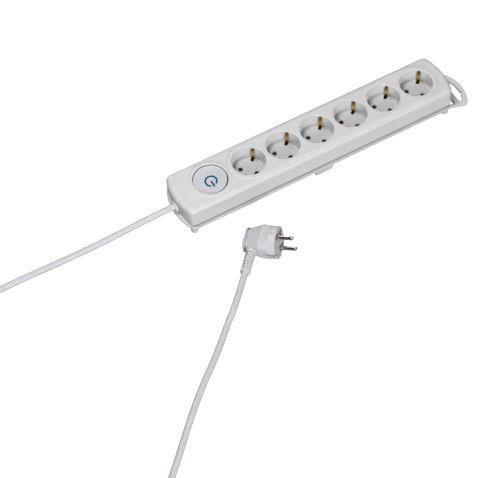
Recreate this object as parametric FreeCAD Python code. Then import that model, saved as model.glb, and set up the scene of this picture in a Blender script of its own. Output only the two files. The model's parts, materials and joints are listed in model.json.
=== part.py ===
"""Six-way power strip with a round rocker switch, hanging loop, mains cable and angled plug.

Millimetres. The origin is on the floor under the middle of the strip's body, +X runs along the
strip towards the hanging loop, the cable leaves at -X, and +Z is up.
"""
import FreeCAD, Part
import math
import os

from FreeCAD import Vector

# ---------------------------------------------------------------- driving dimensions
# cover (upper shell)
HALF_WIDTH = 30.2           # half of the cover's width
TOP_Z = 41.2                # main top surface
RIM_Z = 42.0                # raised plateau round the sockets and the switch
COVER_BOTTOM_Z = 16.0       # lower edge of the cover
END_X_TOP = 179.0           # end wall, at the top
END_X_BOTTOM = 175.3        # end wall, at the bottom: it leans inwards
END_ARC_R = 72.0            # bow of the end walls in plan
END_ARC_R_BOTTOM = 110.0    # the ends are flatter at the cover's lower edge
CORNER_R_BOTTOM = 3.2       # and their corners sharper
CORNER_R = 9.5              # vertical corners in plan
TOP_EDGE_R = 5.2            # rounded upper edge
WALL = 2.2                  # shell thickness

# sockets
SOCKET_COUNT = 6
SOCKET_PITCH = 44.7
SOCKET_MID_X = 29.5         # middle of the socket row
WELL_R = 19.5               # inside of the round well
WELL_WALL = 1.8
FLOOR_TOP_Z = 23.2          # floor of the well
FLOOR_T = 1.7
RIM_ROUND = 0.8
PIN_PITCH = 19.0            # between the two contact holes
HOLE_R = 2.75
PIN_AXIS_DEG = 135.0        # the contact holes lie on this line in plan
EARTH_AXIS_DEG = 45.0       # the earth clips lie on this one
RIB_WIDTH = 5.0
RIB_PROUD = 1.7
RIB_TOP_Z = 38.0
SLOT_WIDTH = 4.2            # slot in the well wall for an earth clip
SLOT_ARCH_Z = 38.4
SLOT_INNER_R = 16.0         # the wall slot starts here
FLOOR_SLOT_R = 14.0         # the floor slot reaches in to here
FLOOR_SLOT_WIDTH = 3.8
DIMPLE_R = 1.7              # ejector dimple in the well floor
DIMPLE_AT = (17.2, 21.0)    # its radius and its angle in plan
DIMPLE_DEPTH = 0.8
PLATEAU_R = 24.5

# round rocker switch
SWITCH_X = -131.7
OPENING_R = 20.15
OPENING_SLEEVE_Z = 35.5     # lower end of the sleeve round the opening
COLLAR_R = 24.0
ROCKER_R = 19.2
ROCKER_TOP_Z = 41.6
ROCKER_BOTTOM_Z = 34.2
ROCKER_AXLE_Z = 35.0
ROCKER_TILT = 5.0           # the rocker rests with its -X side pressed by this angle
SYMBOL_R = 7.6              # power symbol, outer radius
SYMBOL_STROKE = 2.2
SYMBOL_Y = -2.4             # the symbol sits a little towards -Y
SYMBOL_GAP_DEG = 33.0       # half of the gap in its ring
SYMBOL_BAR_Y = (-7.4, -0.6) # ends of its bar, from the symbol's middle
SYMBOL_DEPTH = 0.6
ROCKER_DISH = 0.7           # the rocker's top is hollowed by this much, flat in the middle
ROCKER_FLAT_R = 11.4
CONTACT_PIVOT_Z = 26.0
CONTACT_TILT = 4.0
POLE_Y = 3.2                # the two poles of the switch lie at plus and minus this
ROCKER_TOP_T = 2.6
ROCKER_WALL = 1.9
ROCKER_EAR_Y = (7.2, 9.6)
ROCKER_EAR_HALF_X = 3.5
ROCKER_EAR_Z = 32.6         # lower end of the rocker's ears
TUBE_R = (1.6, 2.6)         # bore and outside of the tube for a plunger
TUBE_BOTTOM_Z = 30.2
AXLE_R = 1.5
PLUNGER_R = 1.5
PLUNGER_Z = (28.6, 32.0)    # middle of the domed tip, top of the stem
BLADE_HALF_X = 9.0          # see-saw contact
BLADE_HALF_Y = 1.6
BLADE_T = 0.8
BUTTON_X = 7.4              # contact button, from the see-saw's pivot
BUTTON_R = 1.4
BUTTON_T = 0.9
TERMINAL_HALF_X = 2.5
TERMINAL_T = 1.0
TERMINAL_Z = (4.2, 22.0)    # lower end and shoulder of an inlet terminal
OUTLET_X = (6.2, 8.6)

# base (lower shell)
BASE_WALL_Y = 27.8          # outer face of the upstand that nests in the cover
BASE_END_X = 172.4
BASE_WALL_T = 1.6
BASE_CORNER_R = 7.8
BASE_WALL_TOP_Z = 20.0
PAN_BOTTOM_Z = 1.3
PAN_T = 1.6
LIP_Y = 32.2                # ledge that stands out below the cover
LIP_END_X = 178.7
LIP_CORNER_R = 6.5
LIP_BOTTOM_Z = 9.5
LIP_TOP_Z = 13.2
PAD_T = 1.2                 # soft pad under each leg
CORNER_LEG_AT = (167.4, 26.2)
CORNER_LEG_R = (4.2, 4.6)   # at the pad and at the ledge
MIDDLE_LEG_HALF = (11.0, 12.0)
MIDDLE_LEG_Y = (24.0, 30.6, 31.4)   # inner face, outer face at the pad, outer face at the ledge
PAD_INSET = 0.4             # from a leg's edge to its pad

# hanging loop: a flat D-shaped eye that sits off the strip's middle line
LOOP_Z = 8.8
LOOP_T = 4.4
LOOP_MID_Y = -11.8
LOOP_ROOT_X = 166.0
LOOP_HALF_Y = (18.3, 29.6)  # half width at its root and where its sides would meet the tip's plane
LOOP_FLARE_X = 202.0        # the second half width is measured here
LOOP_TIP_X = 200.0
LOOP_TIP_R = 42.0           # bow of its outer edge
LOOP_CORNER_R = 6.0
LOOP_SLOT_X = 184.8         # straight inner side of the slot
LOOP_SLOT_HALF_Y = 17.8
LOOP_RIM = 6.0              # from the slot's bowed side to the outer edge
LOOP_NOTCH_AT = (191.5, -18.3)      # round bay in the slot's bowed side
LOOP_NOTCH_R = 3.2
LOOP_GAP_X = 178.4          # the gap beside the strip's end reaches out to here
LOOP_GAP_HALF_Y = 17.6

# case screws
SCREW_X = (-160.5, -59.9, 29.5, 157.5)
SCREW_Y = 22.0
SCREW_R = 1.4
SCREW_SEAT_Z = 4.5
SCREW_HEAD_R = 2.8
SCREW_HEAD_T = 2.0
SCREW_TIP_Z = 25.0
SCREW_CROSS = (3.6, 0.7, 1.0)   # length, width and depth of the cross in a head

# contacts under the sockets
BAR_Z0 = 8.0
BAR_Z1 = 14.0
BAR_T = 0.8
BAR_X0 = -99.5
BAR_X1 = 149.5
FORK_GAP = 2.5              # from a contact hole's axis to a leaf
FORK_T = 0.7
FORK_HALF_LENGTH = 2.5
FORK_Z = (3.4, 16.4)
EARTH_BAR_HALF = 2.5
EARTH_BAR_Z = (3.2, 4.0)
SHEET_T = 0.6
CLIP_WIDTH = 3.3
# inner face of a clip's leg as (distance from the socket's middle, z): it bulges in and flares out
CLIP_LINE = ((17.3, 4.0), (17.3, 24.5), (16.1, 33.0), (15.9, 36.8), (17.0, 39.4), (18.6, 41.0))

# child-proof shutters
SHUTTER_Z = (19.2, 21.2)
PLATE_Z = (16.9, 18.9)
BLADE_HALF_DEG = 18.5
BLADE_R = 12.6
HUB_R = 3.6
SPIGOT_R = 1.5              # pin under the well floor that carries the rotor
SHUTTER_PLATE_R = 13.4
SPRING_POCKET_R = 4.2

# switch housing, wires and cable clamp
HOUSING_HALF_X = 15.0
HOUSING_HALF_Y = 12.0
HOUSING_BOTTOM_Z = 6.0
HOUSING_TOP_Z = 30.5
HOUSING_EAR_Z = 37.6
HOUSING_WALL = 2.0
WIRE_R = 1.25
WIRE_Z = 4.3                # wires that lie on the base
SHEATH_END_X = -161.0
CLAMP_X = (-169.5, -162.0)
CLAMP_HALF_Y = 9.5
CLAMP_SCREW_Y = 6.9
CLAMP_T = 6.0               # from the cable's middle to the top of the bridge

# cable and plug
GROMMET_NECK_R = 5.0
GROMMET_OUTER_R = 6.6
GROMMET_INNER_R = 6.6
GROMMET_X = (-178.7, -170.9)
CABLE_R = 3.85
CABLE_Z = 22.0              # height where the cable leaves the cover
PLUG_FACE = Vector(-102.0, -99.0, 19.6)      # middle of the plug's front face
PLUG_HEADING = -44.4        # plan direction of the pins
PLUG_PITCH = 14.2           # the pins point up by this angle
PLUG_R = 18.5
PLUG_PIN_R = 2.4
PLUG_SHANK_R = 2.15         # thinner shank of a pin, inside the plug
PLUG_PIN_LENGTH = 19.0
CABLE_EXIT_X = -28.5        # axis of the boot behind the plug's face
BOOT_END_Y = -43.0
BOOT_R = (6.3, 5.3)         # at the plug and at the free end
BOOT_ROOT_R = 7.8
BOOT_COLLAR_R = 6.0
BOOT_SLOTS = 7
BOOT_SLOT_PITCH = 3.3
BOOT_SLOT_WIDTH = 1.7
BOOT_SPINE_HALF = 0.9       # the slots leave a spine above and below
PLUG_CORE_R = 14.6
PLUG_CORE_DEPTH = 11.0
PLUG_NOSE_LENGTH = 8.0      # round part
PLUG_WAIST = (-7.0, 17.2, 15.6, 10.0)       # x, half width, half height and corner radius
PLUG_GRIP = (-19.0, 17.4, 13.6, 8.5)
PLUG_GRIP_END = (-34.5, 12.6, 10.2, 7.0)
PLUG_BACK_Y = 0.8           # the grip and the flange sit a little towards +Y
PLUG_RIBS = 8
PLUG_RIB_PITCH = 1.85
PLUG_RIB_GROOVE = (0.8, 0.5)        # width and depth of the grooves between the ribs
PLUG_FLAT_X = (-16.8, -2.4)         # flat finger panels on the four quarters of the flank
PLUG_FLAT_R = 18.2                  # from the plug's axis to a flat
PLUG_FLAT_DEG = 42.0
STRIP_CHANNEL_HALF = 1.8
STRIP_CHANNEL_DEPTH = 3.5
STRIP_T = 0.6
STRIP_LENGTH = 8.4
EARTH_PIN_Y = 10.0          # hole for the earth pin of the other socket system
PIN_WELL = (3.6, 2.9)       # radius and depth of the recess round a pin

UP = Vector(0, 0, 1)
ORIGIN = Vector(0, 0, 0)


# ---------------------------------------------------------------- small helpers
def v(x, y, z):
    return Vector(x, y, z)


def box(x0, x1, y0, y1, z0, z1):
    return Part.makeBox(x1 - x0, y1 - y0, z1 - z0, v(x0, y0, z0))


def rod(radius, start, end):
    axis = end - start
    return Part.makeCylinder(radius, axis.Length, start, axis)


def upright(radius, x, y, z0, z1):
    return rod(radius, v(x, y, z0), v(x, y, z1))


def merge(shapes):
    first = shapes[0]
    joined = first.fuse(shapes[1:]) if len(shapes) > 1 else first
    return joined.removeSplitter()


def polar(radius, degrees, x=0.0, y=0.0, z=0.0):
    angle = math.radians(degrees)
    return v(x + radius * math.cos(angle), y + radius * math.sin(angle), z)


def turned(shape, degrees, about=ORIGIN, axis=UP):
    copy = shape.copy()
    copy.rotate(about, axis, degrees)
    return copy


def moved(shape, x=0.0, y=0.0, z=0.0):
    copy = shape.copy()
    copy.translate(v(x, y, z))
    return copy


def revolved(points, x=0.0, y=0.0):
    """Solid of revolution about the vertical through x, y; points are (radius, z), and a third
    value marks the middle of an arc."""
    edges = []
    i = 0
    corners = points + [points[0]]
    while i < len(points):
        here = v(corners[i][0], 0, corners[i][1])
        after = corners[i + 1]
        if len(after) == 3:
            end = corners[i + 2]
            edges.append(Part.Arc(here, v(after[0], 0, after[1]), v(end[0], 0, end[1])).toShape())
            i += 2
        else:
            edges.append(Part.makeLine(here, v(after[0], 0, after[1])))
            i += 1
    face = Part.Face(Part.Wire(edges))
    return moved(face.revolve(ORIGIN, UP, 360), x, y)


def polygon_prism(points, direction):
    """Closed outline of Vectors swept along a vector."""
    return Part.Face(Part.makePolygon(points + [points[0]])).extrude(direction)


# ---------------------------------------------------------------- outlines
def body_outline(half_width, end_x, z, corner_r=CORNER_R, arc_r=END_ARC_R):
    """Long rectangle with bowed ends and rounded corners, as a wire at height z."""
    bow_x = end_x - arc_r
    rise = half_width - corner_r
    corner_x = bow_x + math.sqrt((arc_r - corner_r) ** 2 - rise ** 2)
    reach = arc_r / (arc_r - corner_r)
    touch = v(bow_x + (corner_x - bow_x) * reach, rise * reach, z)
    half_turn = (math.pi / 2 + math.atan2(rise, corner_x - bow_x)) / 2
    middle = v(corner_x + corner_r * math.cos(half_turn), rise + corner_r * math.sin(half_turn), z)

    def mirrored(point, sign_x, sign_y):
        return v(sign_x * point.x, sign_y * point.y, z)

    edges = []
    start = v(corner_x, half_width, z)
    for sign in (1, -1):
        side_from = mirrored(start, -sign, sign)
        side_to = mirrored(start, sign, sign)
        edges.append(Part.makeLine(side_from, side_to))
        edges.append(Part.Arc(side_to, mirrored(middle, sign, sign), mirrored(touch, sign, sign)).toShape())
        tip = v(sign * end_x, 0, z)
        edges.append(Part.Arc(mirrored(touch, sign, sign), tip, mirrored(touch, sign, -sign)).toShape())
        edges.append(Part.Arc(mirrored(touch, sign, -sign), mirrored(middle, sign, -sign),
                              mirrored(start, sign, -sign)).toShape())
    return Part.Wire(Part.__sortEdges__(edges))


def body_prism(half_width, end_x, z0, z1, corner_r=CORNER_R):
    return Part.Face(body_outline(half_width, end_x, z0, corner_r)).extrude(v(0, 0, z1 - z0))


def stadium(radius, x0, x1, z):
    """Two half circles joined by straight sides."""
    edges = [
        Part.makeLine(v(x0, radius, z), v(x1, radius, z)),
        Part.Arc(v(x1, radius, z), v(x1 + radius, 0, z), v(x1, -radius, z)).toShape(),
        Part.makeLine(v(x1, -radius, z), v(x0, -radius, z)),
        Part.Arc(v(x0, -radius, z), v(x0 - radius, 0, z), v(x0, radius, z)).toShape(),
    ]
    return Part.Wire(edges)


def rounded_rectangle(half_y, half_z, corner_r, x, centre_y=0.0):
    """Wire in a plane of constant x."""
    shape = Part.makeBox(1, 2 * half_y, 2 * half_z, v(x, centre_y - half_y, -half_z))
    long_edges = [e for e in shape.Edges if abs(e.Vertexes[0].X - e.Vertexes[1].X) > 0.5]
    shape = shape.makeFillet(corner_r, long_edges)
    for face in shape.Faces:
        if abs(face.CenterOfMass.x - x) < 1e-6:
            return face.OuterWire
    raise ValueError("no face at x")


SOCKETS = [SOCKET_MID_X + (k - (SOCKET_COUNT - 1) / 2) * SOCKET_PITCH for k in range(SOCKET_COUNT)]
PIN_OFFSET = polar(PIN_PITCH / 2, PIN_AXIS_DEG)
SCREWS = [(x, side * SCREW_Y) for x in SCREW_X for side in (1, -1)]
NODES = {}


# ---------------------------------------------------------------- cover
def well_cutter(x):
    """Round well with a softened rim."""
    mid = RIM_ROUND * (1 - math.sqrt(0.5))
    return revolved([
        (0, FLOOR_TOP_Z), (WELL_R, FLOOR_TOP_Z), (WELL_R, RIM_Z - RIM_ROUND),
        (WELL_R + mid, RIM_Z - mid, "arc"), (WELL_R + RIM_ROUND, RIM_Z),
        (WELL_R + RIM_ROUND, RIM_Z + 1), (0, RIM_Z + 1)], x)


def clip_slot(x, degrees):
    """Arched slot in the well wall and a slot in the floor, where one leg of the earth clip stands."""
    half = SLOT_WIDTH / 2
    outer = WELL_R + WELL_WALL - 0.4
    slot = box(SLOT_INNER_R, outer, -half, half, FLOOR_TOP_Z - FLOOR_T - 1, SLOT_ARCH_Z)
    arch = rod(half, v(SLOT_INNER_R, 0, SLOT_ARCH_Z), v(outer, 0, SLOT_ARCH_Z))
    floor_half = FLOOR_SLOT_WIDTH / 2
    in_floor = box(FLOOR_SLOT_R, outer, -floor_half, floor_half, FLOOR_TOP_Z - FLOOR_T - 1, FLOOR_TOP_Z + 1)
    return moved(turned(slot.fuse([arch, in_floor]), degrees), x)


def dimple(x, turn):
    at = polar(DIMPLE_AT[0], DIMPLE_AT[1] + turn, x)
    return upright(DIMPLE_R, at.x, at.y, FLOOR_TOP_Z - DIMPLE_DEPTH, FLOOR_TOP_Z + 1)


def guide_rib(x, degrees):
    half = RIB_WIDTH / 2
    rib = box(WELL_R - RIB_PROUD, WELL_R + 0.8, -half, half, FLOOR_TOP_Z - 0.5, RIB_TOP_Z)
    lead_in = [v(WELL_R - RIB_PROUD - 1, 0, RIB_TOP_Z - 1), v(WELL_R - RIB_PROUD - 1, 0, RIB_TOP_Z + 1),
               v(WELL_R - 0.5, 0, RIB_TOP_Z + 1)]
    bevel = moved(polygon_prism(lead_in, v(0, 2 * half, 0)), y=-half)
    return moved(turned(rib.cut(bevel), degrees), x)


def hole_cutter(x, sign):
    cx = x + sign * PIN_OFFSET.x
    cy = sign * PIN_OFFSET.y
    drill = upright(HOLE_R, cx, cy, FLOOR_TOP_Z - FLOOR_T - 1, FLOOR_TOP_Z + 1)
    dish = Part.makeCone(HOLE_R, HOLE_R + 0.7, 0.7, v(cx, cy, FLOOR_TOP_Z - 0.7), UP)
    return drill.fuse(dish)


def make_cover():
    shell = Part.makeLoft([body_outline(HALF_WIDTH, END_X_BOTTOM, COVER_BOTTOM_Z, CORNER_R_BOTTOM,
                                        END_ARC_R_BOTTOM),
                           body_outline(HALF_WIDTH, END_X_TOP, TOP_Z)], True, True)
    top_edges = [e for e in shell.Edges if min(p.Z for p in e.Vertexes) > TOP_Z - 0.01]
    shell = shell.makeFillet(TOP_EDGE_R, top_edges)
    ceiling = TOP_Z - WALL
    hollow = Part.makeLoft([body_outline(HALF_WIDTH - WALL, END_X_BOTTOM - WALL - 0.15, COVER_BOTTOM_Z - 1,
                                         CORNER_R_BOTTOM - WALL, END_ARC_R_BOTTOM),
                            body_outline(HALF_WIDTH - WALL, END_X_TOP - WALL - 0.35, ceiling,
                                         CORNER_R - WALL)], True, True)
    shell = shell.cut(hollow)

    row = (SOCKETS[0], SOCKETS[-1])
    plateau = Part.makeLoft([stadium(PLATEAU_R + 1.0, row[0], row[1], TOP_Z - 0.2),
                             stadium(PLATEAU_R - 0.3, row[0], row[1], RIM_Z)], True, True)
    collar = Part.makeCone(COLLAR_R + 0.9, COLLAR_R - 0.5, RIM_Z - TOP_Z + 0.2,
                           v(SWITCH_X, 0, TOP_Z - 0.2), UP)
    sleeve = upright(OPENING_R + 1.6, SWITCH_X, 0, OPENING_SLEEVE_Z, TOP_Z)
    wells = [upright(WELL_R + WELL_WALL, x, 0, FLOOR_TOP_Z - FLOOR_T, TOP_Z) for x in SOCKETS]
    spigots = [upright(SPIGOT_R, x, 0, PLATE_Z[0], FLOOR_TOP_Z - FLOOR_T) for x in SOCKETS]
    bosses = [upright(3.5, x, y, COVER_BOTTOM_Z + 0.6, ceiling + 0.5) for x, y in SCREWS]
    cover = merge([shell, plateau, collar, sleeve] + wells + spigots + bosses)

    mid = 0.8 * (1 - math.sqrt(0.5))
    opening = revolved([
        (0, OPENING_SLEEVE_Z - 1), (OPENING_R, OPENING_SLEEVE_Z - 1), (OPENING_R, RIM_Z - 0.8),
        (OPENING_R + mid, RIM_Z - mid, "arc"), (OPENING_R + 0.8, RIM_Z),
        (OPENING_R + 0.8, RIM_Z + 1), (0, RIM_Z + 1)], SWITCH_X)
    cutters = [opening] + [well_cutter(x) for x in SOCKETS]
    cover = cover.cut(cutters)
    ribs = [guide_rib(x, PIN_AXIS_DEG + turn) for x in SOCKETS for turn in (0, 180)]
    cover = merge([cover] + ribs)

    cutters = [clip_slot(x, EARTH_AXIS_DEG + turn) for x in SOCKETS for turn in (0, 180)]
    cutters += [hole_cutter(x, sign) for x in SOCKETS for sign in (1, -1)]
    cutters += [dimple(x, turn) for x in SOCKETS for turn in (0, 180)]
    cutters += [upright(SCREW_R + 0.05, x, y, COVER_BOTTOM_Z, 27.0) for x, y in SCREWS]
    cutters.append(cable_gate())
    return cover.cut(cutters)


def cable_gate():
    """Notch in the -X end wall for the grommet's neck, open towards the base."""
    neck = GROMMET_NECK_R + 0.1
    gate = box(-END_X_TOP - 5, -END_X_BOTTOM + 6, -neck, neck, COVER_BOTTOM_Z - 12, CABLE_Z)
    return gate.fuse(rod(neck, v(-END_X_TOP - 5, 0, CABLE_Z), v(-END_X_BOTTOM + 6, 0, CABLE_Z)))


# ---------------------------------------------------------------- base
def middle_leg(side):
    """Long tapered leg under the ledge, half way along the strip."""
    inner, outer_low, outer_high = MIDDLE_LEG_Y
    wires = []
    ends = ((MIDDLE_LEG_HALF[0], outer_low, PAD_T), (MIDDLE_LEG_HALF[1], outer_high, LIP_BOTTOM_Z + 0.5))
    for half, outer, z in ends:
        ring = [v(sx * half, side * y, z) for sx, y in ((-1, inner), (1, inner), (1, outer), (-1, outer))]
        wires.append(Part.makePolygon(ring + [ring[0]]))
    return Part.makeLoft(wires, True, True)


def corner_leg(x, y):
    """Round peg near a corner, from its soft pad up into the ledge."""
    return Part.makeCone(*CORNER_LEG_R, LIP_BOTTOM_Z + 0.5 - PAD_T, v(x, y, PAD_T), UP)


CORNER_LEGS = [(sx * CORNER_LEG_AT[0], sy * CORNER_LEG_AT[1]) for sx in (-1, 1) for sy in (1, -1)]


def rounded_box(x0, x1, y0, y1, z0, z1, radius):
    """Box with rounded upright edges."""
    shape = box(x0, x1, y0, y1, z0, z1)
    return shape.makeFillet(radius, [e for e in shape.Edges if abs(e.Vertexes[0].Z - e.Vertexes[1].Z) > 1])


def upright_edges(shape, beyond_x):
    """The vertical edges of a flat plate that lie further out than this."""
    return [e for e in shape.Edges if e.BoundBox.ZLength > 1 and e.BoundBox.XMin > beyond_x]


def hanging_loop():
    """Flat eye at the +X end, with a bowed slot, a round bay in it, and a gap beside the strip."""
    top = LOOP_Z + LOOP_T
    centre_x = LOOP_TIP_X - LOOP_TIP_R
    corners = ((LOOP_ROOT_X, -LOOP_HALF_Y[0]), (LOOP_FLARE_X, -LOOP_HALF_Y[1]),
               (LOOP_FLARE_X, LOOP_HALF_Y[1]), (LOOP_ROOT_X, LOOP_HALF_Y[0]))
    plate = polygon_prism([v(x, LOOP_MID_Y + y, LOOP_Z) for x, y in corners], v(0, 0, LOOP_T))
    plate = plate.common(upright(LOOP_TIP_R, centre_x, LOOP_MID_Y, LOOP_Z, top))
    plate = plate.makeFillet(LOOP_CORNER_R, upright_edges(plate, LOOP_ROOT_X + 5))
    rims = [e for e in plate.Edges if abs(e.BoundBox.ZLength) < 0.01 and e.BoundBox.XMax > LOOP_ROOT_X + 0.1]
    plate = plate.makeFillet(0.9, rims)
    slot = box(LOOP_SLOT_X, LOOP_TIP_X, LOOP_MID_Y - LOOP_SLOT_HALF_Y, LOOP_MID_Y + LOOP_SLOT_HALF_Y,
               LOOP_Z - 1, top + 1)
    slot = slot.common(upright(LOOP_TIP_R - LOOP_RIM, centre_x, LOOP_MID_Y, LOOP_Z - 1, top + 1))
    slot = slot.makeFillet(2.0, upright_edges(slot, LOOP_SLOT_X - 1))
    bay = upright(LOOP_NOTCH_R, *LOOP_NOTCH_AT, LOOP_Z - 1, top + 1)
    gap = rounded_box(LOOP_ROOT_X + 5, LOOP_GAP_X, LOOP_MID_Y - LOOP_GAP_HALF_Y, LOOP_MID_Y + LOOP_GAP_HALF_Y,
                      LOOP_Z - 1, top + 1, 1.5)
    return plate.cut([slot, bay, gap])


def screw_post(x, y):
    return upright(3.9, x, y, PAN_BOTTOM_Z + 0.5, COVER_BOTTOM_Z + 0.4)


def bar_support(x):
    """Cross rib that carries the two live bars and bridges the earth bar."""
    rib = box(x - 1.2, x + 1.2, -13.0, 13.0, PAN_BOTTOM_Z + 1, BAR_Z0)
    return rib.cut(box(x - 2, x + 2, -EARTH_BAR_HALF - 0.2, EARTH_BAR_HALF + 0.2, 2.8, 4.6))


def make_base():
    outer = body_prism(BASE_WALL_Y, BASE_END_X, PAN_BOTTOM_Z, BASE_WALL_TOP_Z, BASE_CORNER_R)
    low_edges = [e for e in outer.Edges if max(p.Z for p in e.Vertexes) < PAN_BOTTOM_Z + 0.01]
    outer = outer.makeFillet(1.5, low_edges)
    inside = body_prism(BASE_WALL_Y - BASE_WALL_T, BASE_END_X - BASE_WALL_T, PAN_BOTTOM_Z + PAN_T,
                        BASE_WALL_TOP_Z + 1, BASE_CORNER_R - BASE_WALL_T)
    lip = body_prism(LIP_Y, LIP_END_X, LIP_BOTTOM_Z, LIP_TOP_Z, LIP_CORNER_R)
    rim_edges = [e for e in lip.Edges if abs(e.Vertexes[0].Z - e.Vertexes[-1].Z) < 0.01]
    lip = lip.makeFillet(0.7, rim_edges)
    legs = [middle_leg(side) for side in (1, -1)] + [corner_leg(x, y) for x, y in CORNER_LEGS]
    tray = merge([outer, lip, hanging_loop()] + legs).cut(inside)

    supports = [bar_support(x + SOCKET_PITCH / 2) for x in SOCKETS[:-1]]
    posts = [screw_post(x, y) for x, y in SCREWS]
    saddle = box(*CLAMP_X, -CLAMP_HALF_Y, CLAMP_HALF_Y, PAN_BOTTOM_Z + 1, CABLE_Z - 1.0)
    tray = merge([tray] + supports + posts + [saddle])

    cutters = [upright(1.6, x, y, 0, 20) for x, y in SCREWS]
    cutters += [upright(3.1, x, y, 0, SCREW_SEAT_Z) for x, y in SCREWS]
    cutters += [upright(1.25, CLAMP_MID_X, side * CLAMP_SCREW_Y, 8, CABLE_Z) for side in (1, -1)]
    cutters.append(rod(CABLE_R + 0.05, v(-184.5, 0, CABLE_Z), v(CLAMP_X[1] + 1, 0, CABLE_Z)))
    neck = GROMMET_NECK_R + 0.1
    cutters.append(box(-BASE_END_X - 0.1, CLAMP_X[0] - 0.1, -GROMMET_INNER_R - 0.2, GROMMET_INNER_R + 0.2,
                       CABLE_Z - GROMMET_INNER_R - 0.2, CABLE_Z + 9))
    cutters.append(rod(neck, v(-LIP_END_X, 0, CABLE_Z), v(-BASE_END_X + 2, 0, CABLE_Z)))
    return tray.cut(cutters)


def make_foot_pads():
    """Thin soft pad under each leg."""
    pads = [upright(CORNER_LEG_R[0] - PAD_INSET, x, y, 0, PAD_T) for x, y in CORNER_LEGS]
    half = MIDDLE_LEG_HALF[0] - PAD_INSET
    for side in (1, -1):
        y0, y1 = sorted((side * (MIDDLE_LEG_Y[0] + PAD_INSET), side * (MIDDLE_LEG_Y[1] - PAD_INSET)))
        pads.append(rounded_box(-half, half, y0, y1, 0, PAD_T, 1.2))
    return Part.makeCompound(pads)


def make_case_screws():
    """Pan-head screws from below, through the base posts into the cover's bosses."""
    length, width, depth = SCREW_CROSS
    head_z = SCREW_SEAT_Z - SCREW_HEAD_T
    screws = []
    for x, y in SCREWS:
        head = upright(SCREW_HEAD_R, x, y, head_z, SCREW_SEAT_Z)
        shank = upright(SCREW_R, x, y, SCREW_SEAT_Z - 0.5, SCREW_TIP_Z)
        groove = box(x - length / 2, x + length / 2, y - width / 2, y + width / 2, head_z - 1, head_z + depth)
        cross = groove.fuse(turned(groove, 90, v(x, y, 0)))
        screws.append(merge([head, shank]).cut(cross))
    return Part.makeCompound(screws)


# ---------------------------------------------------------------- contacts under the sockets
BAR_Y = (PIN_OFFSET.y - FORK_GAP - FORK_T - BAR_T, PIN_OFFSET.y - FORK_GAP - FORK_T)


def make_bar(sign):
    y0, y1 = sorted(sign * y for y in BAR_Y)
    return box(BAR_X0, BAR_X1, y0, y1, BAR_Z0, BAR_Z1)


def contact_fork(x, sign):
    """Two springy leaves joined below the tip of an inserted pin."""
    px = x + sign * PIN_OFFSET.x
    py = sign * PIN_OFFSET.y
    x0, x1 = px - FORK_HALF_LENGTH, px + FORK_HALF_LENGTH
    leaves = []
    for side in (1, -1):
        y0, y1 = sorted((py + side * FORK_GAP, py + side * (FORK_GAP + FORK_T)))
        leaves.append(box(x0, x1, y0, y1, *FORK_Z))
    bridge = box(x0, x1, py - FORK_GAP - 0.1, py + FORK_GAP + 0.1, FORK_Z[0], FORK_Z[0] + FORK_T)
    return merge(leaves + [bridge])


def make_forks(sign):
    return Part.makeCompound([contact_fork(x, sign) for x in SOCKETS])


def earth_clip(x):
    """One bent strip: a strap under the socket and a bulged, flared leg on each side."""
    half_width = CLIP_WIDTH / 2
    strap_z = EARTH_BAR_Z[1]
    foot_r = CLIP_LINE[0][0]
    outer = [v(r + SHEET_T, -half_width, z) for r, z in CLIP_LINE]
    inner = [v(r, -half_width, z) for r, z in reversed(CLIP_LINE)]
    inner[-1] = v(foot_r, -half_width, strap_z + SHEET_T)
    bend = v(foot_r - 1.0, -half_width, strap_z + SHEET_T)
    foot = v(foot_r - 1.0, -half_width, strap_z)
    one_leg = polygon_prism(outer + inner + [bend, foot], v(0, 2 * half_width, 0))
    round_z = CLIP_LINE[-1][1] - half_width
    tip_round = rod(half_width, v(10, 0, round_z), v(30, 0, round_z))
    keep = box(10, 30, -half_width, half_width, 0, round_z).fuse(tip_round)
    one_leg = one_leg.common(keep)
    strap = box(0.5 - foot_r, foot_r - 0.5, -half_width, half_width, strap_z, strap_z + SHEET_T)
    clip = merge([strap, one_leg, turned(one_leg, 180)])
    return moved(turned(clip, EARTH_AXIS_DEG), x)


def make_earth_bar():
    return box(BAR_X0, BAR_X1 - 4, -EARTH_BAR_HALF, EARTH_BAR_HALF, *EARTH_BAR_Z)


# ---------------------------------------------------------------- child-proof shutters
def sector(radius, half_deg, mid_deg, z0, z1):
    """Pie slice about the origin."""
    start = polar(radius, mid_deg - half_deg, z=z0)
    middle = polar(radius, mid_deg, z=z0)
    end = polar(radius, mid_deg + half_deg, z=z0)
    edges = [Part.makeLine(v(0, 0, z0), start), Part.Arc(start, middle, end).toShape(),
             Part.makeLine(end, v(0, 0, z0))]
    return Part.Face(Part.Wire(edges)).extrude(v(0, 0, z1 - z0))


def make_shutter(x):
    """Rotor with two blades that cover the contact holes at rest."""
    z0, z1 = SHUTTER_Z
    hub = upright(HUB_R, 0, 0, z0, z1)
    blades = [sector(BLADE_R, BLADE_HALF_DEG, PIN_AXIS_DEG + turn, z0, z1) for turn in (0, 180)]
    rotor = merge([hub] + blades).cut(upright(SPIGOT_R + 0.05, 0, 0, z0 - 1, z1 + 1))
    return moved(rotor, x)


def make_shutter_plates():
    """Fixed plate under each rotor, with a pocket for its return spring."""
    plates = []
    z0, z1 = PLATE_Z
    for x in SOCKETS:
        plate = upright(SHUTTER_PLATE_R, x, 0, z0, z1)
        cutters = [upright(SPIGOT_R, x, 0, z0 - 1, z1 + 1), upright(SPRING_POCKET_R, x, 0, z0 + 0.8, z1 + 1)]
        for sign in (1, -1):
            cutters.append(upright(3.0, x + sign * PIN_OFFSET.x, sign * PIN_OFFSET.y, z0 - 1, z1 + 1))
        plates.append(plate.cut(cutters))
    return Part.makeCompound(plates)


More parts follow.
